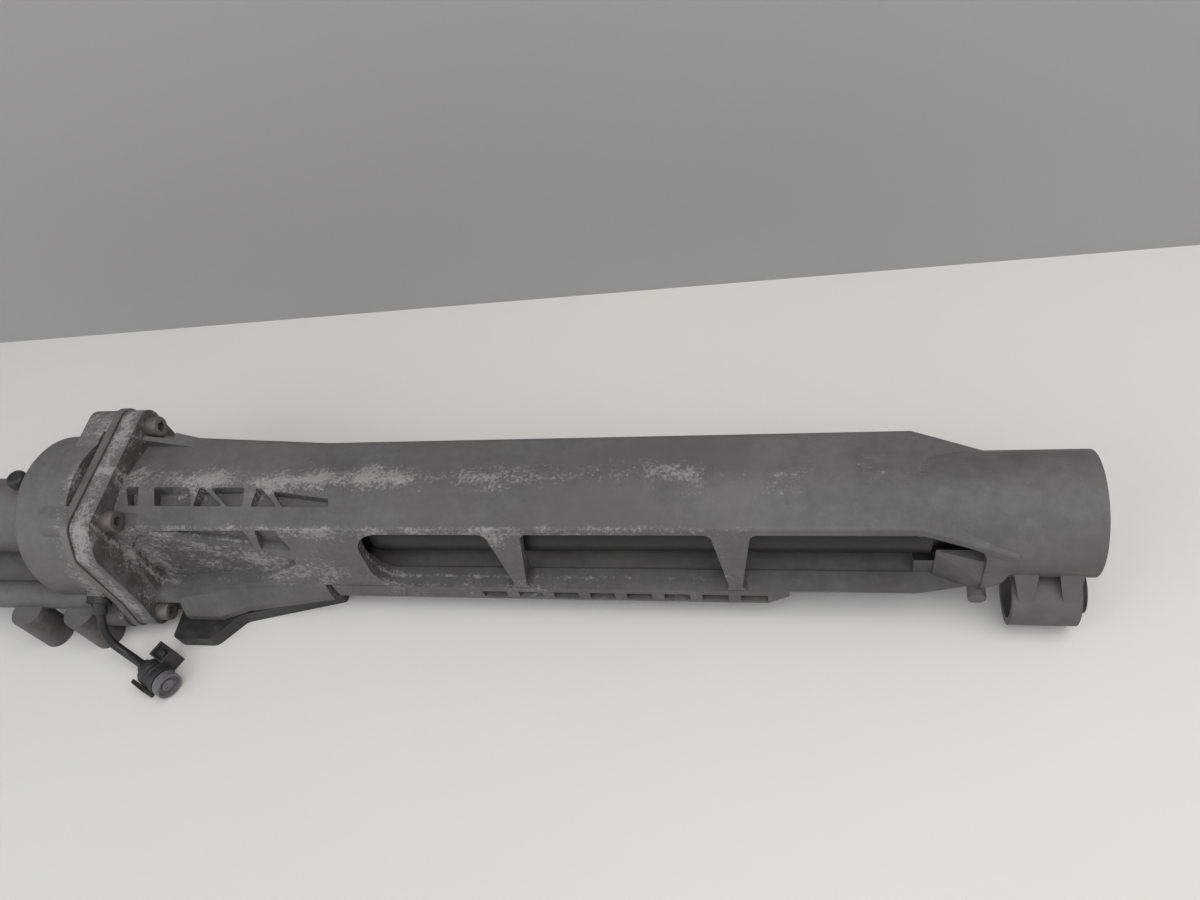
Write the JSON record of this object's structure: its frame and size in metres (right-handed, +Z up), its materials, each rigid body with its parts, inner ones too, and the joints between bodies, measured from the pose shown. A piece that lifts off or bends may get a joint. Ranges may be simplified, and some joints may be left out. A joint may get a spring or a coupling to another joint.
{
  "type": "drive shaft",
  "caption": "Drive shaft unit: tubular shaft turning in a long open cast carrier, with bearing tube, bolted clutch housing, rubber-bushed mounting eye and a short sensor lead.",
  "frame": {"origin": "centre of the output socket's mouth, on the shaft's axis", "axes": "+X along the shaft, from the clutch housing towards the output socket; +Z up, away from the feet; the windows face -Y"},
  "size_m": [0.764, 0.1601, 0.1095],
  "materials": {
    "bearing_steel": "ground",
    "black_plastic": "moulded, fine grain",
    "board_green": "lacquered",
    "bolt_steel": "dull zinc",
    "brass_screw": "machined",
    "cast_aluminium": "rough as-cast, oxidised",
    "cast_housing": "rough as-cast, oxidised",
    "fork_cast": "as-cast",
    "gasket_black": "matte",
    "grey_plastic": "moulded",
    "lead_jacket": "satin",
    "mid_plate": "machined, dull",
    "motor_can": "drawn can",
    "rubber_black": "matte",
    "shaft_black": "satin black coating",
    "shaft_steel": "machined",
    "spring_steel": "blued"
  },
  "bodies": {
    "housing": {"carrier_housing": "cast_aluminium", "joint_plate": "mid_plate", "joint_gaskets": "gasket_black", "flange_bolts": "bolt_steel", "dowel_pins": "bearing_steel", "clutch_housing": "cast_housing", "actuator_housing": "black_plastic", "actuator_screws": "bolt_steel", "fork_rail": "bearing_steel", "actuator_motor": "motor_can", "actuator_board": "board_green", "outboard_seal": "rubber_black", "stub_seal": "rubber_black", "bush_outer_sleeve": "bolt_steel", "bush_rubber": "rubber_black", "bush_inner_sleeve": "bolt_steel", "speed_sensor": "black_plastic", "breather_cap": "black_plastic", "connector_shell": "black_plastic", "connector_seal_ring": "grey_plastic", "connector_clip": "black_plastic", "sensor_lead": "lead_jacket", "outboard_bearing_outer": "bearing_steel", "outboard_snap_ring": "spring_steel", "inboard_bearing_outer": "bearing_steel", "inboard_snap_ring": "spring_steel", "stub_bearing_outer": "bearing_steel", "stub_snap_ring": "spring_steel"},
    "shaft": {"drive_shaft": "shaft_black", "outboard_bearing_inner": "bearing_steel", "inboard_bearing_inner": "bearing_steel"},
    "stub": {"stub_shaft": "shaft_steel", "tone_ring": "bearing_steel", "stub_bearing_inner": "bearing_steel"},
    "outboard_cage": {"outboard_bearing_cage": "bearing_steel"},
    "inboard_cage": {"inboard_bearing_cage": "bearing_steel"},
    "stub_cage": {"stub_bearing_cage": "bearing_steel"},
    "sleeve": {"clutch_sleeve": "shaft_steel"},
    "fork": {"shift_fork": "fork_cast"},
    "screw": {"actuator_screw": "brass_screw"}
  },
  "joints": [
    {"name": "shaft_spin", "type": "hinge", "parent": "housing", "child": "shaft", "pos_m": [-0.2, 0, 0], "axis": [1, 0, 0], "continuous": true},
    {"name": "stub_spin", "type": "hinge", "parent": "housing", "child": "stub", "pos_m": [-0.62, 0, 0], "axis": [1, 0, 0], "continuous": true},
    {"name": "outboard_cage_spin", "type": "hinge", "parent": "housing", "child": "outboard_cage", "pos_m": [-0.022, 0, 0], "axis": [1, 0, 0], "continuous": true},
    {"name": "inboard_cage_spin", "type": "hinge", "parent": "housing", "child": "inboard_cage", "pos_m": [-0.4062, 0, 0], "axis": [1, 0, 0], "continuous": true},
    {"name": "stub_cage_spin", "type": "hinge", "parent": "housing", "child": "stub_cage", "pos_m": [-0.6062, 0, 0], "axis": [1, 0, 0], "continuous": true},
    {"name": "sleeve_slide", "type": "slide", "parent": "stub", "child": "sleeve", "axis": [-1, 0, 0], "range_m": [0, 0.012]},
    {"name": "fork_slide", "type": "slide", "parent": "housing", "child": "fork", "axis": [-1, 0, 0], "range_m": [0, 0.012]},
    {"name": "actuator_screw_spin", "type": "hinge", "parent": "housing", "child": "screw", "pos_m": [-0.49, 0, -0.0465], "axis": [1, 0, 0], "range_deg": [0, 1080]}
  ],
  "couplings": [
    {"joint": "stub_spin", "follows": "shaft_spin", "ratio": 1},
    {"joint": "outboard_cage_spin", "follows": "shaft_spin", "ratio": 0.4378},
    {"joint": "inboard_cage_spin", "follows": "shaft_spin", "ratio": 0.4378},
    {"joint": "stub_cage_spin", "follows": "shaft_spin", "ratio": 0.4378},
    {"joint": "fork_slide", "follows": "sleeve_slide", "ratio": 1},
    {"joint": "actuator_screw_spin", "follows": "sleeve_slide", "rad_per_m": 1570.8}
  ]
}
